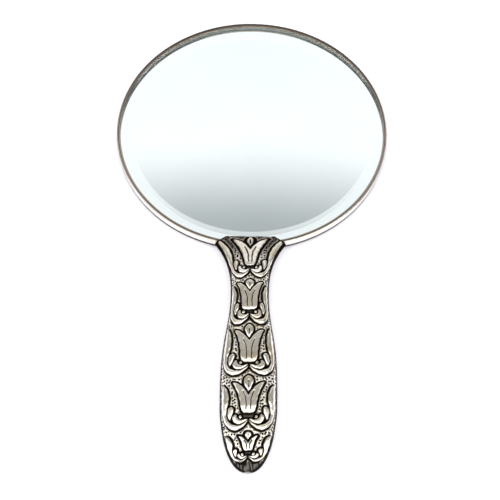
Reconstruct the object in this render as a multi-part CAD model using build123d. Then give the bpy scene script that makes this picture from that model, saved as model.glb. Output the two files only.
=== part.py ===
from build123d import *
import os
from math import degrees, sqrt

# Hand mirror with a round bevelled glass in a silver-plated head, and an embossed hollow handle.
# Millimetres. Z is up, through the glass. The head's axis is Z, and the handle runs along -Y.
# The origin is the middle of the plain cartouche on the back, on which the mirror lies face up.
# Every piece is one closed solid that touches its neighbours or clears them by a named gap.

# Head
head_diameter = 128.8
rim_wall = 0.8  # thickness of the band round the glass
bezel_width = 0.86  # what the retaining ring adds inside the band
bezel_split = 1.2  # gap between the ring's two ends, hidden under the handle's tongue
edge_round = 0.3  # rounding of the band's and the ring's edges
fit_gap = 0.03  # between pieces that slide in or are soldered round
stack_gap = 0.02  # between the layers behind the glass

# Glass and what lies behind it
glass_thickness = 3.0
glass_side_gap = 0.3  # between the glass's edge and the band
bevel_width = 6.3
bevel_drop = 0.9  # how much thinner the glass is at its edge
glass_recess = 0.84  # how far the band stands above the face of the glass
coating_thickness = 0.1
card_thickness = 0.4

# Back
plate_thickness = 0.6
foot_height = 1.5  # foot ring, and so how high the band stands off the table
foot_width = 3.0
foot_inset = 2.2  # from the head's edge to the foot ring
foot_round = 1.1
field_drop = 0.6  # how far the embossed field stands out below the plate's flat border
field_margin = 9.4  # from the head's edge to the embossed field
field_slope = 1.2
cartouche_length = 34.0
cartouche_width = 27.0

# Handle: its outline narrows from the flare to the neck, swells to the grip and rounds off to the tip
handle_length = 107.0  # beyond the head's edge
neck_distance = 26.1  # from the head's edge to the narrowest place
grip_distance = 75.3  # from the head's edge to the widest place
flare_width = 32.0  # at the head's edge
neck_width = 16.8
grip_width = 24.3
tip_width = 3.0
flare_curve = 2.6  # a higher power is a tighter flare
swell_curve = 4.8  # a higher power swells sooner
end_curve = 0.425  # 0.5 rounds the end off as an ellipse, and less is blunter
fullness = 0.68  # 0.55 makes each section an ellipse, and more makes it squarer

tongue_crown = 0.7  # height of the front shell above the band, at the start of its rise
neck_crown = 6.0
grip_crown = 7.0
rise_start = -9.0  # distances from the head's edge between which the crown rises
rise_end = 24.0
flare_depth = 4.4  # depth of the back shell below the top of the band
neck_depth = 5.4
depth_curve = 1.8
handle_lift = 0.4  # of the handle's lowest point above the table

shell_wall = 0.7
tip_wall = 2.0  # solid end of the shells
tongue_lap = 2.6  # how far the front shell reaches in over the glass, past the ring
tongue_flat = 22.0  # straight part of the tongue's edge
tongue_corner = 3.3  # width of each cut corner of the tongue
tongue_corner_drop = 1.9
core_gap = 0.05  # shrinkage of the cast core inside the shells

# Tang, which ties the handle to the head
saddle_width = 18.0
saddle_height = 3.3
saddle_thickness = 1.6
end_wall = 1.0  # of the back shell behind the saddle
tang_length = 62.0
tang_width = 8.0
tang_tip_width = 5.0
tang_thickness = 2.2
tang_key_radius = 1.6  # hole that the core's resin runs through
tang_key_inset = 6.0
rivet_radius = 1.0
rivet_head_radius = 1.5
rivet_head_height = 0.7
rivet_sink = 0.6  # depth of the countersunk head in the band
rivet_spacing = 13.0

# Radii and levels that follow
head_radius = head_diameter / 2
wall_radius = head_radius - rim_wall
lip_radius = wall_radius - bezel_width
glass_radius = wall_radius - glass_side_gap
field_radius = head_radius - field_margin

band_foot = foot_height
plate_top = band_foot + plate_thickness
card_bottom = plate_top + stack_gap
coating_bottom = card_bottom + card_thickness + stack_gap
glass_back = coating_bottom + coating_thickness + stack_gap
glass_face = glass_back + glass_thickness
glass_edge = glass_face - bevel_drop
band_top = glass_face + glass_recess
bezel_bottom = glass_edge + bevel_drop * (glass_radius - lip_radius) / bevel_width + stack_gap
field_bottom = band_foot - field_drop
grip_depth = band_top - handle_lift
end_reach = (handle_length - grip_distance) / sqrt(1 - (tip_width / grip_width) ** (1 / end_curve))
saddle_inner = head_radius + fit_gap
saddle_outer = saddle_inner + saddle_thickness
hollow_start = saddle_outer + end_wall - head_radius
hollow_end = handle_length - tip_wall
saddle_top = band_top - fit_gap
tang_middle = saddle_top - saddle_height / 2

parts = {}


def revolved(points):
    """A solid of revolution about Z from the (radius, height) corners of its section."""
    return revolve(Plane.XZ * make_face(Polyline(*points, close=True)), Axis.Z)


def cylinder(radius, low, high):
    return Pos(0, 0, (low + high) / 2) * Cylinder(radius, high - low)


def ring(inner, outer, low, high):
    return cylinder(outer, low, high) - cylinder(inner, low - 1, high + 1)


def edges_at(solid, radius, height):
    """The solid's circular edges of that radius and height about Z."""
    near = 0.01
    circles = solid.edges().filter_by(GeomType.CIRCLE)
    level = [e for e in circles if abs(e.center().Z - height) < near]
    return [e for e in level if abs(e.radius - radius) < near]


# --- Glass, its coating and the card behind it -------------------------------------------------


def make_glass():
    flat_radius = glass_radius - bevel_width
    back = [(0, glass_back), (glass_radius, glass_back)]
    front = [(glass_radius, glass_edge), (flat_radius, glass_face), (0, glass_face)]
    return revolved(back + front)


def make_coating():
    return cylinder(glass_radius, coating_bottom, coating_bottom + coating_thickness)


def make_card():
    return cylinder(glass_radius, card_bottom, card_bottom + card_thickness)


# --- Head: band, retaining ring, back plate, foot ring and cartouche ---------------------------


def make_band():
    band = ring(wall_radius, head_radius, band_foot, band_top)
    outer = edges_at(band, head_radius, band_foot) + edges_at(band, head_radius, band_top)
    return fillet(outer, edge_round) - rivets()


def make_bezel_ring():
    bezel = ring(lip_radius, wall_radius - stack_gap, bezel_bottom, band_top)
    bezel = fillet(edges_at(bezel, lip_radius, band_top), edge_round)
    return bezel - Pos(0, -head_radius, 0) * Box(bezel_split, head_radius, 4 * band_top)


def make_back_plate():
    """A pressed sheet: flat border, then a field that stands out for the embossing."""
    edge = wall_radius - fit_gap
    step = field_radius + field_slope
    low, high = band_foot, plate_top
    return revolved(
        [
            (0, field_bottom),
            (field_radius, field_bottom),
            (step, low),
            (edge, low),
            (edge, high),
            (step, high),
            (field_radius, high - field_drop),
            (0, high - field_drop),
        ]
    )


def make_foot_ring():
    outer = head_radius - foot_inset
    inner = outer - foot_width
    foot = ring(inner, outer, 0, band_foot)
    return fillet(edges_at(foot, outer, 0) + edges_at(foot, inner, 0), foot_round)


def make_cartouche():
    plate = extrude(Ellipse(cartouche_width / 2, cartouche_length / 2), field_bottom)
    return fillet(plate.edges().group_by(Axis.Z)[0], edge_round)


# --- Handle: two shells over a cast core -------------------------------------------------------


def mix(low, high, share):
    return low + (high - low) * share


def handle_size(distance):
    """Half width, crown and depth of the handle that far beyond the head's edge."""
    if distance <= neck_distance:
        left = 1 - distance / neck_distance
        rise = min((distance - rise_start) / (rise_end - rise_start), 1)
        width = mix(neck_width, flare_width, left**flare_curve)
        crown = mix(tongue_crown, neck_crown, rise**2 * (3 - 2 * rise))
        return width / 2, crown, mix(neck_depth, flare_depth, left**depth_curve)
    if distance <= grip_distance:
        along = (distance - neck_distance) / (grip_distance - neck_distance)
        swell = 1 - (1 - along**2) ** swell_curve
        width = mix(neck_width, grip_width, swell)
        return width / 2, mix(neck_crown, grip_crown, swell), mix(neck_depth, grip_depth, swell)
    end = (1 - ((distance - grip_distance) / end_reach) ** 2) ** end_curve
    return grip_width / 2 * end, grip_crown * end, grip_depth * end


def handle_distances():
    """Where the sections of the handle's lofts lie, closer together where its outline bends most."""
    flare = [neck_distance * share for share in (-0.24, -0.1, 0, 0.1, 0.22, 0.37, 0.58, 0.8)]
    swell = [mix(neck_distance, grip_distance, share) for share in (0, 0.18, 0.34, 0.52, 0.75)]
    end = [mix(grip_distance, handle_length, share) for share in (0, 0.3, 0.55, 0.74, 0.87, 0.95, 0.985, 1)]
    return flare + swell + end


def half_section(distance, upper, inset):
    """A D-shaped face across the handle: flat at the top of the band, and domed up or down."""
    half_width, crown, depth = handle_size(distance)
    half_width -= inset
    reach = crown - inset if upper else inset - depth
    y = -(head_radius + distance)
    side, top = band_top + reach * fullness, band_top + reach
    shoulder = half_width * fullness
    left = Bezier((-half_width, y, band_top), (-half_width, y, side), (-shoulder, y, top), (0, y, top))
    right = Bezier((0, y, top), (shoulder, y, top), (half_width, y, side), (half_width, y, band_top))
    base = Line((half_width, y, band_top), (-half_width, y, band_top))
    return Face(Wire([left, right, base]))


def half_handle(upper):
    return loft([half_section(distance, upper, 0) for distance in handle_distances()])


def half_hollow(upper, inset):
    """What lies inside the front or back shell, that far in from its outer face."""
    between = [d for d in handle_distances() if hollow_start + 1 < d < hollow_end - 1]
    return loft([half_section(d, upper, inset) for d in [hollow_start, *between, hollow_end]])


def tongue_outline():
    """The handle's outline where it meets the head: a straight edge with cut corners, and wide below."""
    edge = -(lip_radius - tongue_lap)
    flat = tongue_flat / 2
    corner = flat + tongue_corner
    corner_y = edge - tongue_corner_drop
    wide = flare_width
    low = -(head_radius + handle_length + wide)
    right = [(flat, edge), (corner, corner_y), (wide, corner_y - (wide - corner)), (wide, low)]
    left = [(-x, y) for x, y in reversed(right)]
    return make_face(Polyline(*right, *left, close=True))


def tongue_plan(low, high):
    """A block of the tongue's outline, inside which both shells lie."""
    return Pos(0, 0, low) * extrude(tongue_outline(), high - low)


def make_front_shell():
    front = half_handle(upper=True) & tongue_plan(band_top, band_top + 2 * grip_crown)
    return front - half_hollow(upper=True, inset=shell_wall)


def make_back_shell():
    back = half_handle(upper=False) & tongue_plan(0, band_top)
    back -= cylinder(saddle_inner, -1, band_top + 1)
    hollow = half_hollow(upper=False, inset=shell_wall)
    return back - hollow - tang_blank(fit_gap) - rivets(fit_gap)


def make_core():
    inset = shell_wall + core_gap
    core = half_hollow(upper=True, inset=inset) + half_hollow(upper=False, inset=inset)
    return core - make_tang() - rivets(core_gap)


# --- Tang and its rivets -----------------------------------------------------------------------


def tang_blank(clearance=0.0):
    """A curved saddle against the band with a flat tapered bar behind it, grown by a clearance."""
    inner = saddle_inner - clearance
    outer = saddle_outer + clearance
    curved = ring(inner, outer, saddle_top - saddle_height - clearance, saddle_top + clearance)
    width = saddle_width + 2 * clearance
    saddle = curved & Pos(0, -head_radius, 0) * Box(width, head_radius, 4 * band_top)
    root, end = -(saddle_inner + saddle_thickness / 2), -(saddle_outer + tang_length + clearance)
    half_root, half_end = tang_width / 2 + clearance, tang_tip_width / 2 + clearance
    taper = make_face(
        Polyline((-half_root, root), (half_root, root), (half_end, end), (-half_end, end), close=True)
    )
    half_thick = tang_thickness / 2 + clearance
    bar = Pos(0, 0, tang_middle - half_thick) * extrude(taper, 2 * half_thick)
    return saddle + bar


def make_tang():
    key_y = -(saddle_outer + tang_length - tang_key_inset)
    key = Pos(0, key_y, tang_middle) * Cylinder(tang_key_radius, 2 * tang_thickness)
    return tang_blank() - key - rivets()


def rivets(clearance=0.0):
    """Two rivets through the band and the saddle: sunk flush inside, domed outside."""
    shank = rivet_radius + clearance
    head = rivet_head_radius + clearance
    start, end = wall_radius, saddle_outer + rivet_head_height + clearance
    sunk = [(0, start), (head, start), (shank, start + rivet_sink)]
    domed = [(shank, saddle_outer), (head, saddle_outer), (head, mix(saddle_outer, end, 0.5)), (shank, end)]
    blank = revolved([*sunk, *domed, (0, end)])
    angle = degrees(rivet_spacing / 2 / head_radius)
    placed = [Pos(0, 0, tang_middle) * Rot(0, 0, turn) * Rot(90, 0, 0) * blank for turn in (-angle, angle)]
    return placed[0] + placed[1]


parts["mirror_glass"] = make_glass()
parts["mirror_coating"] = make_coating()
parts["packing_card"] = make_card()
parts["rim_band"] = make_band()
parts["bezel_ring"] = make_bezel_ring()
parts["back_plate"] = make_back_plate()
parts["foot_ring"] = make_foot_ring()
parts["back_cartouche"] = make_cartouche()
parts["handle_front_shell"] = make_front_shell()
parts["handle_back_shell"] = make_back_shell()
parts["handle_core"] = make_core()
parts["tang"] = make_tang()
parts["tang_rivets"] = rivets()

os.makedirs("parts", exist_ok=True)
for name, solid in parts.items():
    export_step(solid, f"parts/{name}.step")
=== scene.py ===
"""A dresser hand mirror: a bevelled round glass in a silver-plated head, with an embossed handle."""

import bmesh
import bpy
import numpy as np
from mathutils import Matrix, Vector
from mathutils.bvhtree import BVHTree


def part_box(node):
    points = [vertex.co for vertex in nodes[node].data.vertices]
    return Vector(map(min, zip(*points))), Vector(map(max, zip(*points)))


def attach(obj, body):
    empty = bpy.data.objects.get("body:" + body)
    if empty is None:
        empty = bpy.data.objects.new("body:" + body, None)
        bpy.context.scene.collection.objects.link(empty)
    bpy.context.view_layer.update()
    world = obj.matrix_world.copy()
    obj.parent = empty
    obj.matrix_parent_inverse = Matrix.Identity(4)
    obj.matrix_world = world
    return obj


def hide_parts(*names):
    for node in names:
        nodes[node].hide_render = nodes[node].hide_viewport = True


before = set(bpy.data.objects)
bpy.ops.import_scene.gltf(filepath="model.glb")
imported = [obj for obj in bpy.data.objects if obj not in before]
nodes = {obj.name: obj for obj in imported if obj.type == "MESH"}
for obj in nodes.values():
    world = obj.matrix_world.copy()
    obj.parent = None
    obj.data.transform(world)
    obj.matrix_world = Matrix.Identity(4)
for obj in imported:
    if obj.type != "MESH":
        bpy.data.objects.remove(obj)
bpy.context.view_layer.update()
MM = 0.001
SMOOTH = {"interpolation_type": "SMOOTHSTEP"}

# ---- Back plate ------------------------------------------------------------------------------
# A disc of thin brass sheet, pressed into a die with a ring of tulips and scrolled leaves, then
# silver plated. The sunk lines are left black with oxide and the high places are polished bright.
# It is soldered inside the band, and its plain middle is covered by the cartouche.

plate_low, plate_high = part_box("back_plate")
field_radius = 55.0  # of the embossed field, inside the plate's flat border
field_start = (13.2, 15.5)  # radii between which it rises out of the plain middle
field_end = 1.6  # width of the strip inside its rim where it fades out
field_slope = 1.2
punched_radii = (15, 16, 52.6, 53.4)  # where the punch marks begin and end
plate_border = 0.6  # how far the flat border lies above the field's face
plate_corner = 0.1
plate_petals = 8
plain_middle = 12.0
pole = 0.4  # radius of the flat that closes the sheet's middle
plate_rows = 112
plate_columns = 720

# The die's work, here and on the handle, in millimetres. Heights are from the sheet's middle surface.
ground_level = -0.38
trench_depth = 0.26
trench_width = 1.15
trench_reach = 1.15 * trench_width  # how far from a form its trench's oxide goes
trench_black = 0.7 * trench_width  # how far it is solid black
punch_limit = 0.8 * trench_width  # and how near to the form the punch came
oxide_lap = 0.25  # how far the black creeps up a form's edge
bead_radius = 0.66
eye_depth = 0.2  # of the pit in the middle of each bead
eye_slope = (0.32, 0.1)  # radii between which it sinks
eye_black = (0.34, 0.12)  # and between which it turns black
chase_depth = 0.18  # of a line cut with the tracer at full strength, which holds solid black
base_swelling = 0.27  # how far a tulip's base swells above its petals
base_rounding = 5.0  # length over which it rounds down to the ground
nest_width = 0.42  # of the black hollow under each tulip, as a share of the half width
nest_length = 2.4
nest_drop = 0.9  # how far its middle lies below the tulip's base
nest_oxide = 0.94
ground_haze = 0.03  # the share of oxide that polishing leaves on the ground
wobble = 0.07  # how far the die cutter's lines stray
unit_lean = -0.4  # how far a unit's two sides are out of line, from one edge of the strip to its middle
unit_margin = 2.5  # how far beyond a unit's forms its trench is looked for
punch_pitch = 1.32
punch_depth = 0.16
punch_scatter = 0.55  # 0 for marks in even rows, 1 for marks at random
punch_slope = (0.32, 0.1)  # of a mark's wall, in pitches from its middle
punch_black = (0.42, 0.33)  # and of its oxide
crease = 0.9  # the angle in radians past which an edge stays sharp


def linear(code):
    """A colour for a shader from its sRGB hex code."""
    levels = [int(code[i : i + 2], 16) / 255 for i in (1, 3, 5)]
    return (*[v / 12.92 if v < 0.04045 else ((v + 0.055) / 1.055) ** 2.4 for v in levels], 1)


def add(tree, kind, inputs=None, **settings):
    """Adds a node. Its inputs are values, or the sockets that feed them."""
    node = tree.nodes.new(kind)
    for name, value in settings.items():
        setattr(node, name, value)
    for name, value in (inputs or {}).items():
        if isinstance(value, bpy.types.NodeSocket):
            tree.links.new(value, node.inputs[name])
        else:
            node.inputs[name].default_value = value
    return node


def new_material(name):
    """An empty node material with a Principled shader on its output."""
    material = bpy.data.materials.new(name)
    material.use_nodes = True
    tree = material.node_tree
    tree.nodes.clear()
    shader = add(tree, "ShaderNodeBsdfPrincipled")
    add(tree, "ShaderNodeOutputMaterial", {"Surface": shader.outputs[0]})
    return material, tree, shader


def mottled(tree, place, size, detail, tones, span=(0.3, 0.7)):
    """A colour that drifts between two tones in clouds of that size, and the noise that it follows."""
    noise = add(
        tree, "ShaderNodeTexNoise", {"Vector": place, "Scale": 1 / size, "Detail": detail}
    ).outputs[0]
    share = add(tree, "ShaderNodeMapRange", {"Value": noise, 1: span[0], 2: span[1]}, **SMOOTH).outputs[0]
    one, other = [linear(tone) for tone in tones]
    return add(tree, "ShaderNodeMix", {0: share, 6: one, 7: other}, data_type="RGBA").outputs[2], noise


def silver_plate(name, embossed, tones=("#F3EFE6", "#DED4C0", "#9C907C")):
    """Old silver plate, die-stamped and hand polished. It gives soft, slightly warm reflections, clouded
    by thin tarnish, with fine rubbing marks. On embossed sheet, black patina stays in the hollows, and on
    the handle painted shade blackens parts of the ground and the sides."""
    material, tree, shader = new_material(name)
    place = add(tree, "ShaderNodeTexCoord").outputs["Object"]
    tarnish_size, spot_size, rub_width = 9 * MM, 1.3 * MM, 0.35 * MM
    tarnish = mottled(tree, place, tarnish_size, 4, tones[:2], (0.35, 0.7))[0]
    spots = add(
        tree, "ShaderNodeTexNoise", {"Vector": place, "Scale": 1 / spot_size, "Detail": 3}
    ).outputs[0]
    spotted = add(
        tree, "ShaderNodeMapRange", {"Value": spots, 1: 0.45, 2: 0.8, 3: 0, 4: 0.35}, **SMOOTH
    ).outputs[0]
    colour = add(
        tree, "ShaderNodeMix", {0: spotted, 6: tarnish, 7: linear(tones[2])}, data_type="RGBA"
    ).outputs[2]
    rough = add(
        tree, "ShaderNodeMapRange", {"Value": spots, 1: 0.3, 2: 0.75, 3: 0.10, 4: 0.20}, **SMOOTH
    ).outputs[0]
    rubbing = add(tree, "ShaderNodeMapping", {"Vector": place, "Scale": (1, 6, 1)}).outputs[0]
    rubs = add(
        tree, "ShaderNodeTexNoise", {"Vector": rubbing, "Scale": 1 / rub_width, "Detail": 2}
    ).outputs[0]
    if embossed:
        sunk_black_and_shade = add(tree, "ShaderNodeAttribute", attribute_name="sunk_black_and_shade").outputs["Fac"]
        ground = add(tree, "ShaderNodeAttribute", attribute_name="ground").outputs["Fac"]
        flat = add(tree, "ShaderNodeAttribute", attribute_name="flat").outputs["Vector"]
        cells = add(
            tree,
            "ShaderNodeTexVoronoi",
            {"Vector": flat, "Scale": 1 / punch_pitch, "Randomness": punch_scatter},
            voronoi_dimensions="2D",
        ).outputs["Distance"]
        rim, middle = punch_black
        marks = add(tree, "ShaderNodeMapRange", {"Value": cells, 1: rim, 2: middle}, **SMOOTH).outputs[0]
        pits = add(tree, "ShaderNodeMath", {0: marks, 1: ground}, operation="MULTIPLY").outputs[0]
        # The black share is oxide in the hollows and punch marks, and on the handle also painted shade.
        oxide_and_shade = add(tree, "ShaderNodeMath", {0: sunk_black_and_shade, 1: pits}, operation="MAXIMUM").outputs[0]
        colour = add(
            tree, "ShaderNodeMix", {0: oxide_and_shade, 6: colour, 7: linear("#0F0A07")}, data_type="RGBA"
        ).outputs[2]
        rough = add(
            tree, "ShaderNodeMapRange", {"Value": ground, "To Min": rough, "To Max": 0.42}
        ).outputs[0]
        rough = add(
            tree, "ShaderNodeMapRange", {"Value": oxide_and_shade, "To Min": rough, "To Max": 0.62}
        ).outputs[0]
    bump = add(tree, "ShaderNodeBump", {"Height": rubs, "Strength": 0.12, "Distance": 0.02 * MM})
    tree.links.new(colour, shader.inputs["Base Color"])
    tree.links.new(rough, shader.inputs["Roughness"])
    tree.links.new(bump.outputs[0], shader.inputs["Normal"])
    shader.inputs["Metallic"].default_value = 1
    return material, tree, shader, colour


def smooth_line(points, steps=6):
    """A smooth line through given points."""
    p = np.array(points, float)
    p = np.vstack([2 * p[0] - p[1], p, 2 * p[-1] - p[-2]])
    t = np.linspace(0, 1, steps, endpoint=False)[:, None]
    spans = []
    for a, b, c, d in zip(p, p[1:], p[2:], p[3:]):
        bend = (2 * a - 5 * b + 4 * c - d) * t**2 + (3 * b - a - 3 * c + d) * t**3
        spans.append((2 * b + (c - a) * t + bend) / 2)
    return np.vstack([*spans, p[-2:-1]])


def distance_to(line, x, y, closed):
    """Distance of points from a line. Outside a closed line it is negative."""
    nearest = np.full(x.shape, np.inf)
    inside = np.zeros(x.shape, bool)
    ends = np.roll(line, -1, axis=0) if closed else line[1:]
    for (ax, ay), (bx, by) in zip(line, ends):
        dx, dy = bx - ax, by - ay
        length = dx * dx + dy * dy
        if length == 0:
            continue
        along = np.clip(((x - ax) * dx + (y - ay) * dy) / length, 0, 1)
        nearest = np.minimum(nearest, (x - ax - along * dx) ** 2 + (y - ay - along * dy) ** 2)
        if closed and dy:
            inside ^= ((ay > y) != (by > y)) & (x < ax + (y - ay) * dx / dy)
    nearest = np.sqrt(nearest)
    return np.where(inside, nearest, -nearest) if closed else nearest


def dome(share):
    """0 at the rim of a rounded form and 1 on top of it."""
    return np.sqrt(1 - (1 - np.clip(share, 0, 1)) ** 2)


def step(value, low, high):
    """Goes smoothly from 0 at low to 1 at high, which may be the smaller of the two."""
    t = np.clip((value - low) / (high - low), 0, 1)
    return t * t * (3 - 2 * t)


def mirrored(right):
    """A closed outline from its right half, which starts and ends on the middle line."""
    right = np.array(right, float)
    return np.vstack([right, right[::-1] * (-1, 1)])


def tulip_outline(unit, girth):
    """Two petals with pointed tips that curve out from a rounded base, in millimetres across and along."""
    base, tips = unit["base"], unit["tips"]
    waist, spread, notch = unit["waist"] * girth, unit["spread"] * girth, unit["notch"]
    foot = [(0, 0), (0.65, 0.015), (0.9, 0.07), (1, 0.17)]
    share = np.linspace(0.22, 1, 9)
    side = [(waist + (spread - waist) * v ** unit["flare"], v) for v in share]
    share = np.linspace(0.92, 0, 12)
    inner = [(spread * u, notch + (1 - notch) * np.sin(np.pi / 2 * u**0.9)) for u in share]
    right = np.array([*[(x * waist, v) for x, v in foot], *side, *inner])
    right[:, 1] = base + right[:, 1] * (tips - base)
    return mirrored(right)


def bud_outline(unit, girth):
    """The bud that stands in the notch between the petals: a rounded top, and a long point below."""
    half, top, bottom = unit["bud"]
    shape = smooth_line([(0, 0), (0.45, 0.05), (0.86, 0.19), (1, 0.36), (0.84, 0.56), (0.4, 0.82), (0, 1)])
    return mirrored([(x * half * girth, top + v * (bottom - top)) for x, v in shape])


def leaf_place(unit, girth, points):
    """Turns shares of the half width and of the leaf's length into millimetres across and along. The rise
    lifts the curls of a leaf without lifting its two ends."""
    low, high = unit["bowl"], unit["leaf"]
    x, v = np.array(points, float).T
    v = v * (1 + (unit["rise"] - 1) * (1 - step(v, 0.4, 0.9)))
    return np.column_stack([x * girth, low + v * (high - low)])


def leaf_forms(unit, girth):
    """The right-hand scroll: the long leaf, its curled end, the lobe between them and the bead in the curl,
    each with its height and the width of its rounded edge. It also gives the bead's middle."""
    leaf = [
        smooth_line([(0.89, 1.01), (0.795, 0.94), (0.72, 0.83), (0.69, 0.71), (0.695, 0.59), (0.73, 0.49)]),
        smooth_line([(0.73, 0.49), (0.775, 0.38), (0.785, 0.29), (0.75, 0.205), (0.65, 0.14), (0.5, 0.1)]),
        smooth_line([(0.5, 0.1), (0.34, 0.09), (0.2, 0.12), (0.09, 0.16), (0.03, 0.205)]),
        smooth_line([(0.03, 0.165), (0.13, 0.1), (0.28, 0.04), (0.45, 0.006), (0.62, 0.015), (0.765, 0.07)]),
        smooth_line([(0.765, 0.07), (0.865, 0.16), (0.915, 0.28), (0.93, 0.45), (0.93, 0.8), (0.915, 1.0)]),
    ]
    curl = [
        smooth_line(
            [(0.03, 0.205), (0.12, 0.16), (0.26, 0.125), (0.42, 0.122), (0.535, 0.16), (0.575, 0.21)]
        ),
        smooth_line([(0.575, 0.21), (0.565, 0.26), (0.505, 0.295), (0.425, 0.3)]),
        smooth_line(
            [(0.425, 0.3), (0.405, 0.245), (0.35, 0.21), (0.25, 0.195), (0.12, 0.205), (0.03, 0.215)]
        ),
    ]
    lobe = smooth_line(
        [(0.53, 0.36), (0.52, 0.42), (0.61, 0.455), (0.7, 0.42), (0.735, 0.335), (0.725, 0.255),
         (0.68, 0.205), (0.63, 0.235), (0.585, 0.29), (0.53, 0.36)]
    )
    turn = np.linspace(0, 2 * np.pi, 13)[:-1]
    bead_place = leaf_place(unit, girth, [(0.29, 0.25)])[0]
    bead = bead_place + bead_radius * np.column_stack([np.cos(turn), np.sin(turn)])
    forms = [(np.vstack(leaf), 0.3, 1.4), (np.vstack(curl), 0.14, 0.6), (lobe, 0.24, 0.8)]
    return [
        *[(leaf_place(unit, girth, line), *rest) for line, *rest in forms], (bead, 0.16, 0.5)
    ], bead_place


def chased_lines(unit, girth):
    """Lines cut with a tracer, with their depths and half widths: two up each tulip from its base, a slit
    in the bud, and a faint vein in each leaf."""
    base, tips = unit["base"], unit["tips"]
    waist = unit["waist"] * girth
    petal = smooth_line([(0.3, 0.12), (0.31, 0.36), (0.42, 0.52), (0.7, 0.69)])
    top, bottom = unit["bud"][1:]
    slit = np.array([(0, top + v * (bottom - top)) for v in (0.32, 0.72)])
    vein = smooth_line([(0.83, 0.88), (0.79, 0.72), (0.79, 0.58), (0.83, 0.42)])
    petal = petal * (waist, tips - base) + (0, base)
    vein = leaf_place(unit, girth, vein)
    return [(petal, chase_depth, 0.42), (slit, chase_depth, 0.38), (vein, 0.07, 0.22)]


def tulip_shape(unit, y, full, edge):
    """Height of a tulip over the ground. It swells towards its base, which rounds right over."""
    up = y - unit["base"]
    swollen = full + base_swelling * step(up / (unit["tips"] - unit["base"]), 0.7, 0.15)
    return swollen * np.minimum(edge, dome(up / base_rounding))


def emboss(across, along, half_width, stretch, units):
    """Height in millimetres, how sunk and black the sheet is, and where its ground is punched, for points
    at those places across and along a strip whose half width varies. The stretch is how much longer the
    sheet is than its plan there. A unit is a tulip and its pair of leaves. It gives the places along the
    strip of the tulip's tips and base, of the leaf's top and of the bowl of its scroll, then the tulip's
    waist and spread as shares of the half width, how late its petals flare, how deep its notch goes, the
    bud's half width, top and bottom, and how much the scroll's curls are raised."""
    height = np.full(across.shape, ground_level)
    sunk_black_and_shade = np.full(across.shape, ground_haze)
    ground = np.ones(across.shape)
    for unit in units:
        low = unit["bowl"] - unit_margin
        high = max(unit["leaf"], unit["tips"], unit["bud"][1]) + unit_margin
        near = (along > low) & (along < high)
        middle = (unit["tips"] + unit["bowl"]) / 2
        girth = half_width[near][np.argmin(abs(along[near] - middle))]
        x = np.abs(across[near] / half_width[near]) * girth
        y = along[near] + unit_lean * across[near] / half_width[near]
        # Waves about 3 mm long, which fall differently on each form.
        x = x + wobble * np.sin(1.9 * along[near] + 0.9 * across[near])
        y = y + wobble * np.sin(2.3 * across[near] - 1.1 * along[near])
        side_forms, bead_place = leaf_forms(unit, girth)
        tulip = tulip_outline(unit, girth)
        forms = [(tulip, 0.1, 0.5), (bud_outline(unit, girth), 0.26, 0.9), *side_forms]
        union = np.full(x.shape, -np.inf)
        level_here = height[near]
        for outline, level, rounding in forms:
            depth = distance_to(outline, x, y, True)
            union = np.maximum(union, depth)
            full, edge = level - ground_level, dome(depth / rounding)
            shape = tulip_shape(unit, y, full, edge) if outline is tulip else full * edge
            level_here = np.where(depth > 0, np.maximum(level_here, ground_level + shape), level_here)
        union = np.where(union < 0, union * stretch[near], union)
        trench = np.clip(1 - np.abs(union + trench_width / 2) / (trench_width / 2), 0, 1)
        level_here = level_here - trench_depth * np.sqrt(trench)
        black = step(union, -trench_reach, -trench_black) * step(union, oxide_lap, 0)
        for line, cut, width in chased_lines(unit, girth):
            depth = distance_to(line, x, y, False)
            level_here = level_here - cut * np.clip(1 - (depth / width) ** 2, 0, 1) * (union > 0)
            held = cut / chase_depth * step(depth, width, 0.3 * width)
            black = np.maximum(black, held * (union > 0))
        eye = np.hypot(x - bead_place[0], y - bead_place[1])
        level_here = level_here - eye_depth * step(eye, *eye_slope)
        black = np.maximum(black, step(eye, *eye_black))
        nest = np.hypot(x / (nest_width * girth), (y - unit["base"] + nest_drop) / nest_length)
        black = np.maximum(black, nest_oxide * step(nest, 1.15, 0.75) * (union < 0))
        inside = union > -trench_reach
        height[near] = np.where(inside, level_here, height[near])
        sunk_black_and_shade[near] = np.where(union > 0, black, np.maximum(sunk_black_and_shade[near], black))
        ground[near] = np.minimum(ground[near], step(union, -punch_limit, -trench_reach))
    return height, sunk_black_and_shade, ground


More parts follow.
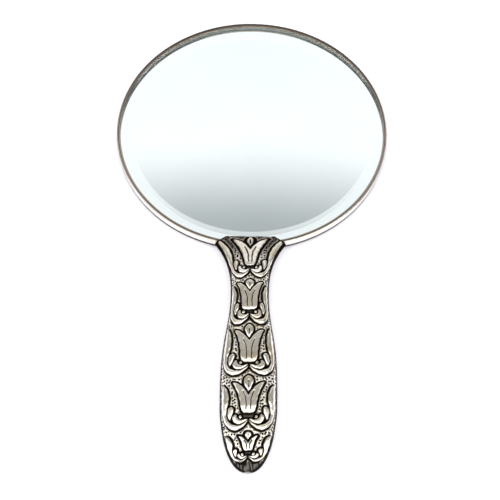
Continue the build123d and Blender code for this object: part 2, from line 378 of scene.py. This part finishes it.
def punch_tree():
    """Geometry nodes that sink the ground between the forms with the marks of a small round punch."""
    tree = bpy.data.node_groups.new("punched_ground", "GeometryNodeTree")
    face = tree.interface
    face.new_socket("Geometry", in_out="INPUT", socket_type="NodeSocketGeometry")
    for name in ("Pitch", "Depth", "Randomness"):
        face.new_socket(name, in_out="INPUT", socket_type="NodeSocketFloat")
    face.new_socket("Material", in_out="INPUT", socket_type="NodeSocketMaterial")
    face.new_socket("Geometry", in_out="OUTPUT", socket_type="NodeSocketGeometry")
    given = add(tree, "NodeGroupInput").outputs
    flat = add(
        tree, "GeometryNodeInputNamedAttribute", {"Name": "flat"}, data_type="FLOAT_VECTOR"
    ).outputs[0]
    ground = add(tree, "GeometryNodeInputNamedAttribute", {"Name": "ground"}, data_type="FLOAT").outputs[0]
    per_mm = add(tree, "ShaderNodeMath", {0: 1.0, 1: given["Pitch"]}, operation="DIVIDE").outputs[0]
    cells = add(
        tree,
        "ShaderNodeTexVoronoi",
        {"Vector": flat, "Scale": per_mm, "Randomness": given["Randomness"]},
        voronoi_dimensions="2D",
    ).outputs["Distance"]
    rim, bottom = punch_slope
    pit = add(tree, "ShaderNodeMapRange", {"Value": cells, 1: rim, 2: bottom}, **SMOOTH).outputs[0]
    masked = add(tree, "ShaderNodeMath", {0: pit, 1: ground}, operation="MULTIPLY").outputs[0]
    sink = add(tree, "ShaderNodeMath", {0: masked, 1: given["Depth"]}, operation="MULTIPLY").outputs[0]
    inward = add(tree, "ShaderNodeMath", {0: sink, 1: -MM}, operation="MULTIPLY").outputs[0]
    normal = add(tree, "GeometryNodeInputNormal").outputs[0]
    offset = add(tree, "ShaderNodeVectorMath", {0: normal, "Scale": inward}, operation="SCALE").outputs[0]
    moved = add(tree, "GeometryNodeSetPosition", {"Geometry": given["Geometry"], "Offset": offset})
    real = add(tree, "GeometryNodeRealizeInstances", {"Geometry": moved.outputs[0]})
    painted = add(
        tree, "GeometryNodeSetMaterial", {"Geometry": real.outputs[0], "Material": given["Material"]}
    )
    add(tree, "NodeGroupOutput", {"Geometry": painted.outputs[0]})
    return tree


def run_nodes(piece, tree, values):
    """Runs a geometry node tree on a piece, and leaves the result as its plain mesh."""
    modifier = piece.modifiers.new("nodes", "NODES")
    modifier.node_group = tree
    for item in tree.interface.items_tree:
        if item.in_out == "INPUT" and item.name in values:
            modifier[item.identifier] = values[item.name]
    evaluated = piece.evaluated_get(bpy.context.evaluated_depsgraph_get())
    mesh = bpy.data.meshes.new_from_object(evaluated)
    piece.modifiers.remove(modifier)
    piece.data = mesh
    return piece


def closed_mesh(name, rings, fields):
    """A closed piece through rings of points that follow one another, with its two ends filled. The fields
    are attributes with a value for each point."""
    rows, count = rings.shape[:2]
    number = np.arange(rows * count).reshape(rows, count)
    after = np.roll(number, -1, axis=1)
    quads = np.stack([number[:-1], after[:-1], after[1:], number[1:]], axis=-1).reshape(-1, 4)
    mesh = bpy.data.meshes.new(name)
    ends = [number[0, ::-1].tolist(), number[-1].tolist()]
    mesh.from_pydata((rings.reshape(-1, 3) * MM).tolist(), [], [*quads.tolist(), *ends])
    for key, value in fields.items():
        kind, part = ("FLOAT_VECTOR", "vector") if value.ndim == 3 else ("FLOAT", "value")
        mesh.attributes.new(key, kind, "POINT").data.foreach_set(part, value.ravel().astype(np.float32))
    work = bmesh.new()
    work.from_mesh(mesh)
    bmesh.ops.triangulate(work, faces=[f for f in work.faces if len(f.verts) > 4])
    bmesh.ops.recalc_face_normals(work, faces=work.faces)
    work.to_mesh(mesh)
    work.free()
    mesh.polygons.foreach_set("use_smooth", np.ones(len(mesh.polygons), bool))
    mesh.set_sharp_from_angle(angle=crease)
    piece = bpy.data.objects.new(name, mesh)
    bpy.context.scene.collection.objects.link(piece)
    return piece


def back_plate_rings():
    """Rings of points round the plate, from the middle of its outer face out to its rim and back inside."""
    turn = np.linspace(0, 2 * np.pi, plate_columns + 1)[:-1]
    field = np.linspace(plain_middle + 0.35, field_radius, plate_rows)
    radius = np.concatenate([[pole, plain_middle / 2, plain_middle], field])
    r, a = np.meshgrid(radius, turn, indexing="ij")
    sector = np.pi / plate_petals
    across = ((a + sector) % (2 * sector) - sector) * r
    half_width = sector * r
    unit = {"tips": 43.5, "base": 27.5, "waist": 0.2, "spread": 0.43, "flare": 2.5, "notch": 0.62}
    unit |= {"bud": (0.15, 46.5, 39.5), "leaf": 51.5, "bowl": 18.5, "rise": 1}
    height, sunk_black_and_shade, ground = emboss(across, r, half_width, np.ones(r.shape), [unit])
    inner_edge, outer_edge = step(r, *field_start), step(r, field_radius, field_radius - field_end)
    height = height * inner_edge * outer_edge
    sunk_black_and_shade = sunk_black_and_shade * inner_edge * outer_edge
    first, full, fading, last = punched_radii
    ground = ground * step(r, first, full) * step(r, last, fading)
    face = plate_low.z / MM
    outer = np.stack([r * np.sin(a), r * np.cos(a), face - height], axis=-1)
    flat = np.stack([across, r, 0 * r], axis=-1)
    border, edge = face + plate_border, plate_high.x / MM
    thickness = (plate_high.z - plate_low.z) / MM - plate_border
    shoulder = field_radius + field_slope
    profile = [(shoulder, border), (edge - plate_corner, border), (edge, border + plate_corner)]
    profile += [(edge, border + thickness), (shoulder, border + thickness)]
    profile += [(field_radius, face + thickness), (pole, face + thickness)]
    rest = [np.stack([q * np.sin(turn), q * np.cos(turn), 0 * turn + z], axis=-1) for q, z in profile]
    rings = np.concatenate([outer, np.stack(rest)])
    pad = np.zeros((len(rest), len(turn)))
    fields = {"sunk_black_and_shade": np.vstack([sunk_black_and_shade, pad]), "ground": np.vstack([ground, pad])}
    fields["flat"] = np.concatenate([flat, np.zeros((len(rest), len(turn), 3))])
    return rings, fields


embossed_silver = silver_plate("embossed_silver_plate", embossed=True)[0]
punched_ground = punch_tree()
punch_values = {"Pitch": punch_pitch, "Depth": punch_depth}
punch_values |= {"Randomness": punch_scatter, "Material": embossed_silver}
plate = closed_mesh("embossed_back_plate", *back_plate_rings())
run_nodes(plate, punched_ground, punch_values)
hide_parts("back_plate")
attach(plate, "root")

# ---- Foot ring, cartouche, band and retaining ring -------------------------------------------
# Plain silver-plated brass: a half-round wire and an oval disc soldered to the back, a strip bent
# into the band, and the split ring that is sprung into it over the bevel to hold the glass.

plain_tones = ("#F5F2EF", "#E8E1D8", "#B9AC9C")
lip_drop = (0.6, 0.3)  # how far below the band's top edge the wear begins, and where it is full
joint_line = (0.2, 0.1)  # half width of the dirt between band and ring, and of its black middle
foot_shadow_band = (1.9, 1.4)  # heights on the band's foot between which it turns black: a painted shadow under the band
browning_span = (-58, 62)  # from the handle's end of the head to the far end, which is the browner


def dress(name, material):
    """Gives a plain piece its material."""
    materials = nodes[name].data.materials
    materials.clear()
    materials.append(material)


def off_axis(tree, place):
    """Distance from the upright axis, which is the middle of the round head."""
    level = add(tree, "ShaderNodeVectorMath", {0: place, 1: (1, 1, 0)}, operation="MULTIPLY").outputs[0]
    return add(tree, "ShaderNodeVectorMath", {0: level}, operation="LENGTH").outputs["Value"]


def worn_plate():
    """The same plate on the band and the ring in it. Handling has worn the lip and the ring's top to brown
    metal, and soiling has drawn a black line along the joint between the two. The ring's inner wall below
    the lip is painted darker as shade, and a black line of painted shadow runs round the band's foot."""
    material, tree, shader, colour = silver_plate("worn_silver_plate", embossed=False, tones=plain_tones)
    band_low, band_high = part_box("rim_band")
    joint_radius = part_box("bezel_ring")[1].x
    place = add(tree, "ShaderNodeTexCoord").outputs["Object"]
    parts = add(tree, "ShaderNodeSeparateXYZ", {"Vector": place}).outputs
    radius = off_axis(tree, place)
    off_joint = add(tree, "ShaderNodeMath", {0: radius, 1: joint_radius}, operation="SUBTRACT").outputs[0]
    off_joint = add(tree, "ShaderNodeMath", {0: off_joint}, operation="ABSOLUTE").outputs[0]
    spans = [
        (parts["Z"], [band_high.z - drop * MM for drop in lip_drop]),
        (radius, [joint_radius + half * MM for half in joint_line]),
        (off_joint, [half * MM for half in joint_line]),
        (parts["Z"], [band_low.z + rise * MM for rise in foot_shadow_band]),
        (parts["Y"], [end * MM for end in browning_span]),
    ]
    lip, inside, joint, foot, far = [
        add(tree, "ShaderNodeMapRange", {"Value": value, 1: start, 2: full}, **SMOOTH).outputs[0]
        for value, (start, full) in spans
    ]
    joint = add(tree, "ShaderNodeMath", {0: lip, 1: joint}, operation="MULTIPLY").outputs[0]
    tan, umber, shaded, dirt_and_shadow_black = [linear(code) for code in ("#BDB4A9", "#5F5850", "#6F685F", "#1D1A18")]
    brown = add(tree, "ShaderNodeMix", {0: far, 6: tan, 7: umber}, data_type="RGBA").outputs[2]
    # Painted shade: the ring's inner wall below the lip is darker; on the lip it is worn brown.
    deep = add(tree, "ShaderNodeMix", {0: lip, 6: shaded, 7: brown}, data_type="RGBA").outputs[2]
    # The black on the band's foot is a painted shadow; the black along the joint is dirt.
    for where, tone in ((lip, brown), (inside, deep), (joint, dirt_and_shadow_black), (foot, dirt_and_shadow_black)):
        colour = add(tree, "ShaderNodeMix", {0: where, 6: colour, 7: tone}, data_type="RGBA").outputs[2]
    tree.links.new(colour, shader.inputs["Base Color"])
    return material


plain_silver = silver_plate("plain_silver_plate", embossed=False, tones=plain_tones)[0]
for name in ("foot_ring", "back_cartouche"):
    dress(name, plain_silver)
worn_silver = worn_plate()
for name in ("rim_band", "bezel_ring"):
    dress(name, worn_silver)

# ---- Packing card ----------------------------------------------------------------------------
# A disc of grey strawboard between the glass and the back. It is dull, with short fibres in it.

card, tree, shader = new_material("grey_strawboard")
place = add(tree, "ShaderNodeTexCoord").outputs["Object"]
fibre_length = 0.6 * MM
colour = mottled(tree, place, fibre_length, 5, ("#6F675B", "#8B8374"), (0.35, 0.65))[0]
tree.links.new(colour, shader.inputs["Base Color"])
shader.inputs["Roughness"].default_value = 0.92
dress("packing_card", card)

# ---- Mirror coating --------------------------------------------------------------------------
# Chemical silver on the back of the glass. It is a near-perfect reflector, a little cool in tone
# because the glass in front of it is slightly green.

silvering, tree, shader = new_material("silver_coating")
place = add(tree, "ShaderNodeTexCoord").outputs["Object"]
haze_size = 30 * MM
colour = mottled(tree, place, haze_size, 3, ("#F5FCFD", "#F4FBFC"))[0]
tree.links.new(colour, shader.inputs["Base Color"])
shader.inputs["Metallic"].default_value = 1
shader.inputs["Roughness"].default_value = 0.015
dress("mirror_coating", silvering)

# ---- Mirror glass ----------------------------------------------------------------------------
# A round of 3 mm float glass with a wide bevel ground and polished on its front. Clear, with the
# faint green of its iron. Its edge is left rough from the grinding, out of sight behind the ring.

glass, tree, shader = new_material("clear_float_glass")
place = add(tree, "ShaderNodeTexCoord").outputs["Object"]
wave_size = 25 * MM
polished = mottled(tree, place, wave_size, 1, ("#FDFFFF", "#FCFEFE"))[0]
frosted = linear("#B4BBB8")
glass_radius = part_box("mirror_glass")[1].x
clear_to, ground_from = glass_radius - 0.45 * MM, glass_radius - 0.3 * MM
radius = off_axis(tree, place)
edge = add(tree, "ShaderNodeMapRange", {"Value": radius, 1: clear_to, 2: ground_from}).outputs[0]
colour = add(tree, "ShaderNodeMix", {0: edge, 6: polished, 7: frosted}, data_type="RGBA").outputs[2]
rough = add(tree, "ShaderNodeMapRange", {"Value": edge, 3: 0, 4: 0.7}).outputs[0]
see_through = add(tree, "ShaderNodeMapRange", {"Value": edge, 3: 1, 4: 0}).outputs[0]
tree.links.new(colour, shader.inputs["Base Color"])
tree.links.new(rough, shader.inputs["Roughness"])
tree.links.new(see_through, shader.inputs["Transmission Weight"])
shader.inputs["IOR"].default_value = 1.52
dress("mirror_glass", glass)

# ---- Tang and rivets -------------------------------------------------------------------------
# A bent steel strap, sheared and drilled, that carries the handle, and two brass rivets through it
# and the band. All of it is out of sight inside the handle.

steel, tree, shader = new_material("mild_steel_strap")
place = add(tree, "ShaderNodeTexCoord").outputs["Object"]
drawn = add(tree, "ShaderNodeMapping", {"Vector": place, "Scale": (1, 0.06, 1)}).outputs[0]
grain_width = 0.4 * MM
colour, grain = mottled(tree, drawn, grain_width, 3, ("#8E8E90", "#A9A9AA"))
rough = add(
    tree, "ShaderNodeMapRange", {"Value": grain, 1: 0.3, 2: 0.7, 3: 0.35, 4: 0.5}, **SMOOTH
).outputs[0]
tree.links.new(colour, shader.inputs["Base Color"])
tree.links.new(rough, shader.inputs["Roughness"])
shader.inputs["Metallic"].default_value = 1
dress("tang", steel)

brass, tree, shader = new_material("brass_rivet_wire")
place = add(tree, "ShaderNodeTexCoord").outputs["Object"]
wear_size = 0.8 * MM
colour = mottled(tree, place, wear_size, 3, ("#C9A55A", "#A98442"))[0]
tree.links.new(colour, shader.inputs["Base Color"])
shader.inputs["Metallic"].default_value = 1
shader.inputs["Roughness"].default_value = 0.35
dress("tang_rivets", brass)

# ---- Handle core -----------------------------------------------------------------------------
# Jeweller's pitch poured hot into the two shells, dark brown and slightly shiny where it set
# against the metal.

pitch, tree, shader = new_material("cast_pitch")
place = add(tree, "ShaderNodeTexCoord").outputs["Object"]
flow_size = 4 * MM
colour, flow = mottled(tree, place, flow_size, 4, ("#2A1C14", "#3A281C"))
rough = add(
    tree, "ShaderNodeMapRange", {"Value": flow, 1: 0.3, 2: 0.7, 3: 0.3, 4: 0.55}, **SMOOTH
).outputs[0]
tree.links.new(colour, shader.inputs["Base Color"])
tree.links.new(rough, shader.inputs["Roughness"])
dress("handle_core", pitch)

# ---- Handle shells ---------------------------------------------------------------------------
# Two halves stamped from thin sheet in a die, with five tulips one above the other, pairs of
# scrolled leaves that hug the sides, and a punched ground. They are filed flat, soldered together
# along the sides and plated. The front half laps over the band as a tongue.

shell_wall = 0.7
band_gap = 0.03
band_bend = 8.0  # length over which the back shell's end takes on the round of the band
tongue_corner = 4.5  # length of the tongue's cut corners
trend_rows = 12  # rows below them whose widths are carried on
tongue_solid = 6.3  # length of the tongue, which has no hollow under it
tip_solid = 2.0  # and of the closed tip
solder_line = 0.45  # width along each side where the embossing fades out
flat_side = (0.4, 3.5)  # distances from the side between which the relief grows to its full height
side_relief = 0.3  # the share of it that the steep side gets, where the die could not reach
shell_columns = 156
section_points = 73
inner_every = 6  # columns of the outside for one on the plain inside
shell_rows = 520
tip_share = 0.12  # of the rows, crowded where the handle rounds off
tip_length = 7.0
outside = 50.0  # a distance from the middle that is well clear of the shell
inset = 0.02  # how far in from the shell's edges it is read

# The five units, from the tongue down to the tip.
tulips = [
    {"tips": -61.9, "base": -77.1, "waist": 0.245, "spread": 0.45, "flare": 1.8, "notch": 0.61,
     "bud": (0.09, -60.8, -66.0), "leaf": -61.3, "bowl": -83.5, "rise": 0.95},
    {"tips": -86.0, "base": -99.8, "waist": 0.39, "spread": 0.69, "flare": 2.9, "notch": 0.63,
     "bud": (0.225, -84.8, -90.0), "leaf": -87.5, "bowl": -106.8, "rise": 1.2},
    {"tips": -109.5, "base": -125.0, "waist": 0.31, "spread": 0.61, "flare": 2.9, "notch": 0.655,
     "bud": (0.185, -107.0, -113.6), "leaf": -108.5, "bowl": -130.8, "rise": 1.0},
    {"tips": -134.0, "base": -147.9, "waist": 0.265, "spread": 0.57, "flare": 2.3, "notch": 0.57,
     "bud": (0.172, -131.1, -138.6), "leaf": -134.8, "bowl": -155.2, "rise": 1.1},
    {"tips": -157.5, "base": -163.6, "waist": 0.225, "spread": 0.39, "flare": 2.0, "notch": 0.5,
     "bud": (0.13, -155.9, -159.2), "leaf": -157.2, "bowl": -168.2, "rise": 1.1},
]
tongue_shade_span = (-76.0, -64.0)  # between which the ground is painted blacker towards the tongue: painted shade where the neck slopes away
# How black the painted shade makes the ground there.
tongue_shade_black = 0.9
tip_band = 3.8  # length of the plain end below the last leaves, which is never polished bright
tip_blend = 0.6
tip_streaks = 0.06  # how much of its black the faint streaks take away
seam_black = (0.5, 0.15)  # distances from the solder line between which it turns black
seam_unpunched = (0.3, 0.6)  # and between which the punch marks begin
front_flank_dirt_and_shade = 2.7  # width of the black along the front half's solder line: dirt that buffing never reached, with painted shade on the flank
back_flank_dirt_and_shade = 1.0  # and along the back half's, also dirt with painted shade


def section(tree, y, level, up):
    """Points round the outside of a shell at one place along it, from its right side to its left."""

    def seen(start, way):
        return tree.ray_cast(Vector(start) * MM, Vector(way))[0]

    edge = level + inset * up
    side = seen((outside, y, edge), (-1, 0, 0))
    top = seen((0, y, level + outside * up), (0, 0, -up))
    if side is None or top is None:
        return None
    wide, tall = side.x / MM, abs(top.z / MM - level)
    points = []
    for angle in np.linspace(0, np.pi, section_points):
        way = np.array([wide * np.cos(angle), 0, up * tall * np.sin(angle)])
        way /= np.linalg.norm(way)
        hit = seen(np.array([0, y, edge]) + way * outside, -way)
        points.append((hit.x / MM, hit.z / MM))
    points[0], points[-1] = (wide, level), (-wide, level)
    return np.array(points)


def evenly(points, count):
    """The same line through evenly spaced points, with its length."""
    lengths = np.concatenate([[0], np.cumsum(np.hypot(*np.diff(points, axis=0).T))])
    places = np.linspace(0, lengths[-1], count)
    return np.column_stack([np.interp(places, lengths, points[:, i]) for i in (0, 1)]), lengths[-1]


def blur(grid, width, axis):
    """Averages a grid over a few neighbours, to take out the facets of the shell that it was read from."""
    kernel = np.hanning(width + 2)[1:-1]
    kernel /= kernel.sum()
    pad = [(0, 0)] * grid.ndim
    pad[axis] = (width // 2, width // 2)
    padded = np.pad(grid, pad, mode="edge")
    count = grid.shape[axis]
    return sum(k * np.take(padded, range(i, i + count), axis=axis) for i, k in enumerate(kernel))


def follow_band(x, y):
    """Bends the first rows of the back shell to the round of the band that they are soldered to."""
    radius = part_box("rim_band")[1].x / MM + band_gap
    band = -np.sqrt(np.maximum(radius**2 - x**2, 0))
    first = y.max()
    return y + (band - first) * step(y, first - band_bend, first)


def widths_along(rows, wide):
    """Half widths for the embossing, which carry on widening under the tongue's cut corners."""
    clear = rows < rows[0] - tongue_corner
    slope = np.polyfit(rows[clear][:trend_rows], wide[clear][:trend_rows], 1)
    return np.where(clear, wide, np.polyval(slope, rows))


def stamped_shell(name, node, up):
    """The visible shell that stands for a smooth one: embossed outside, with a plain wall inside. The
    rows run down the handle, and the columns from side to side."""
    low, high = (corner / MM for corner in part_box(node))
    level = low.z if up > 0 else high.z
    bvh = BVHTree.FromObject(nodes[node], bpy.context.evaluated_depsgraph_get())
    knee = low.y + tip_length
    straight = np.linspace(high.y - inset, knee, int(shell_rows * (1 - tip_share)))
    ease = np.linspace(0, 1, shell_rows - len(straight) + 1)[1:]
    rows = np.concatenate([straight, knee - (tip_length - inset) * np.sin(ease * np.pi / 2)])
    found = [(y, section(bvh, y, level, up)) for y in rows]
    found = [(y, points) for y, points in found if points is not None]
    rows = np.array([y for y, _ in found])
    shapes, girths = zip(*[evenly(points, shell_columns + 1) for _, points in found])
    shapes, girths = np.array(shapes), np.array(girths)
    shapes = blur(blur(shapes, width=7, axis=0), width=5, axis=1)
    shapes[:, (0, -1), 1] = level
    y = np.repeat(rows[:, None], shell_columns + 1, axis=1)
    if up < 0:
        y = follow_band(shapes[..., 0], y)
    base = np.stack([shapes[..., 0], y, shapes[..., 1]], axis=-1)
    normal = np.cross(np.gradient(base, axis=1), np.gradient(base, axis=0))
    normal /= np.linalg.norm(normal, axis=-1, keepdims=True) + 1e-9
    normal *= np.sign(normal[..., 2].sum()) * up
    half = widths_along(rows, shapes[:, 0, 0])
    half_width = np.repeat(half[:, None], shell_columns + 1, axis=1)
    share = np.linspace(0, 1, shell_columns + 1)[None, :] * girths[:, None]
    stretch = np.clip(np.gradient(share, axis=1) / np.abs(np.gradient(base[..., 0], axis=1)), 1, 6)
    height, sunk_black_and_shade, ground = emboss(base[..., 0], base[..., 1], half_width, stretch, tulips)
    from_side = np.minimum(share, girths[:, None] - share)
    side_fade = side_relief + (1 - side_relief) * step(from_side, *flat_side)
    tip_fade = step(rows, low.y, low.y + tip_band)[:, None]
    height = height * (step(from_side, 0, solder_line) * side_fade) * tip_fade
    sunk_black_and_shade = np.maximum(sunk_black_and_shade, step(from_side, *seam_black))
    # Black along each side: dirt at the solder line, with painted shade on the flank.
    dirt_and_shade_width = front_flank_dirt_and_shade if up > 0 else back_flank_dirt_and_shade
    sunk_black_and_shade = np.maximum(sunk_black_and_shade, step(from_side, dirt_and_shade_width, 0.7 * dirt_and_shade_width))
    # Uneven streaks about 2 mm apart, which run down the end.
    ripple = np.sin(3.3 * base[..., 0] + 2 * np.sin(1.3 * base[..., 0] + 0.9 * y))
    tip_end = low.y + tip_band
    tip_black = step(rows, tip_end + tip_blend, tip_end - tip_blend)[:, None]
    sunk_black_and_shade = np.maximum(sunk_black_and_shade, (1 - tip_streaks + tip_streaks * ripple) * tip_black)
    # Painted shade: the ground is blackened towards the tongue, where the neck slopes away.
    sunk_black_and_shade = np.maximum(sunk_black_and_shade, tongue_shade_black * ground * step(rows, *tongue_shade_span)[:, None])
    ground = ground * step(from_side, *seam_unpunched) * tip_fade
    outer = base + normal * height[..., None]
    flat = np.stack([share - girths[:, None] / 2, y, 0 * y], axis=-1)
    picked = np.arange(shell_columns, -1, -inner_every)
    inner = (base - normal * shell_wall)[:, picked]
    inner[:, (0, -1), 2] = level
    solid = (rows > high.y - tongue_solid) & (up > 0) | (rows < low.y + tip_solid)
    inner[solid, :, 2] = level
    inner[..., 2] = np.maximum(inner[..., 2] * up, level * up) * up
    rings = np.concatenate([outer, inner], axis=1)
    pad = np.zeros((len(rows), len(picked)))
    fields = {"sunk_black_and_shade": np.hstack([sunk_black_and_shade, pad]), "ground": np.hstack([ground, pad])}
    fields["flat"] = np.concatenate([flat, np.zeros((len(rows), len(picked), 3))], axis=1)
    piece = closed_mesh(name, rings, fields)
    run_nodes(piece, punched_ground, punch_values)
    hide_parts(node)
    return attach(piece, "root")


stamped_shell("embossed_handle_front", "handle_front_shell", 1)
stamped_shell("embossed_handle_back", "handle_back_shell", -1)

# ---- Floor, light and camera -----------------------------------------------------------------
# A sheet of white paper in a light tent with a softbox over it, and a grey card above for the mirror
# and the silver to reflect.

floor_reach = 3.0
floor_mesh = bpy.data.meshes.new("floor")
corners = [(floor_reach * x, floor_reach * y, 0) for x, y in ((-1, -1), (1, -1), (1, 1), (-1, 1))]
floor_mesh.from_pydata(corners, [], [(0, 1, 2, 3)])
floor = bpy.data.objects.new("floor", floor_mesh)
bpy.context.scene.collection.objects.link(floor)
floor.location.z = -0.2 * MM  # keeps its face clear of what lies on it
paper, tree, shader = new_material("white_paper")
shader.inputs["Base Color"].default_value = linear("#DDDCE1")
shader.inputs["Roughness"].default_value = 0.9
floor_mesh.materials.append(paper)

# The tent, by the direction it is seen in: bright on the near side, grey beyond, with a lit patch of
# wall on the far side and a dark doorway on the right.
near_light, far_light, doorway = [(level, level, level, 1) for level in (2.6, 0.42, 0.1)]
patch_foot, patch_head = (1.14, 1.11, 1.11, 1), (1.02, 1.0, 1.0, 1)
patch_middle = (0, 0.62, 0)
world = bpy.data.worlds.new("light_tent")
bpy.context.scene.world = world
world.use_nodes = True
tree = world.node_tree
tree.nodes.clear()
way = add(tree, "ShaderNodeTexCoord").outputs["Generated"]
parts = add(tree, "ShaderNodeSeparateXYZ", {"Vector": way}).outputs
from_patch = add(tree, "ShaderNodeVectorMath", {0: way, 1: patch_middle}, operation="SUBTRACT").outputs[0]
off_patch = off_axis(tree, from_patch)
upward = add(tree, "ShaderNodeMapRange", {"Value": parts["Y"], 1: 0.56, 2: 0.68}, **SMOOTH).outputs[0]
patch = add(
    tree, "ShaderNodeMix", {0: upward, 6: patch_foot, 7: patch_head}, data_type="RGBA"
).outputs[2]
near = add(tree, "ShaderNodeMapRange", {"Value": parts["Y"], 1: 0.3, 2: 0.06}, **SMOOTH).outputs[0]
on_patch = add(tree, "ShaderNodeMapRange", {"Value": off_patch, 1: 0.6, 2: 0.35}, **SMOOTH).outputs[0]
right = add(tree, "ShaderNodeMapRange", {"Value": parts["X"], 1: 0.88, 2: 0.97}, **SMOOTH).outputs[0]
tent = far_light
for share, light in ((near, near_light), (on_patch, patch), (right, doorway)):
    tent = add(tree, "ShaderNodeMix", {0: share, 6: tent, 7: light}, data_type="RGBA").outputs[2]
background = add(tree, "ShaderNodeBackground", {"Color": tent, "Strength": 1.0})
add(tree, "ShaderNodeOutputWorld", {"Surface": background.outputs[0]})

softbox = bpy.data.objects.new("softbox", bpy.data.lights.new("softbox", "AREA"))
bpy.context.scene.collection.objects.link(softbox)
softbox.location = (0, -0.2, 1.1)
softbox.data.size = 1.6
softbox.data.energy = 3.5
softbox.visible_glossy = softbox.visible_transmission = False

# The grey card has soft edges, and is warmer over the handle. Only reflections and refractions see it.
card_half_width, card_near, card_far, card_height = 0.4, -0.3, 0.4, 0.35
card_middle = (0, 0.03, card_height)
card_stretch = (3.6, 6, 0)  # shares of its soft oval per metre
above_mirror, above_handle = (0.485, 0.49, 0.49, 1), (0.5, 0.485, 0.45, 1)
card_mesh = bpy.data.meshes.new("grey_card")
corners = [(-1, card_near), (1, card_near), (1, card_far), (-1, card_far)]
corners = [(card_half_width * side, y, card_height) for side, y in corners]
card_mesh.from_pydata(corners, [], [(0, 1, 2, 3)])
grey_card = bpy.data.objects.new("grey_card", card_mesh)
bpy.context.scene.collection.objects.link(grey_card)
grey_card.visible_camera = grey_card.visible_diffuse = grey_card.visible_shadow = False
shade = bpy.data.materials.new("soft_edged_card")
shade.use_nodes = True
tree = shade.node_tree
tree.nodes.clear()
place = add(tree, "ShaderNodeTexCoord").outputs["Object"]
centred = add(tree, "ShaderNodeVectorMath", {0: place, 1: card_middle}, operation="SUBTRACT").outputs[0]
oval = add(tree, "ShaderNodeVectorMath", {0: centred, 1: card_stretch}, operation="MULTIPLY").outputs[0]
off_middle = add(tree, "ShaderNodeVectorMath", {0: oval}, operation="LENGTH").outputs["Value"]
along = add(tree, "ShaderNodeSeparateXYZ", {"Vector": place}).outputs["Y"]
over_handle = add(tree, "ShaderNodeMapRange", {"Value": along, 1: 0.14, 2: 0.07}, **SMOOTH).outputs[0]
grey = add(
    tree, "ShaderNodeMix", {0: over_handle, 6: above_mirror, 7: above_handle}, data_type="RGBA"
).outputs[2]
glow = add(tree, "ShaderNodeEmission", {"Color": grey}).outputs[0]
clear = add(tree, "ShaderNodeBsdfTransparent").outputs[0]
edge = add(tree, "ShaderNodeMapRange", {"Value": off_middle, 1: 0.7, 2: 1.27}, **SMOOTH).outputs[0]
near_edge = add(tree, "ShaderNodeMapRange", {"Value": along, 1: -0.035, 2: -0.08}, **SMOOTH).outputs[0]
edge = add(tree, "ShaderNodeMath", {0: edge, 1: near_edge}, operation="MAXIMUM").outputs[0]
blend = add(tree, "ShaderNodeMixShader", {0: edge, 1: glow, 2: clear}).outputs[0]
add(tree, "ShaderNodeOutputMaterial", {"Surface": blend})
card_mesh.materials.append(shade)
bpy.context.scene.view_settings.view_transform = "Standard"

camera = bpy.data.objects.new("camera", bpy.data.cameras.new("camera"))
bpy.context.scene.collection.objects.link(camera)
distance = 0.55
tilt = 0.5162  # from straight down, in radians
roll = 0.01243
aim = Vector((-0.00014, -0.06329, 0))
camera.data.lens = 86.7
camera.data.sensor_width = 36
camera.location = aim + distance * Vector((0, -np.sin(tilt), np.cos(tilt)))
camera.rotation_euler = (Matrix.Rotation(tilt, 3, "X") @ Matrix.Rotation(roll, 3, "Z")).to_euler()
bpy.context.scene.camera = camera
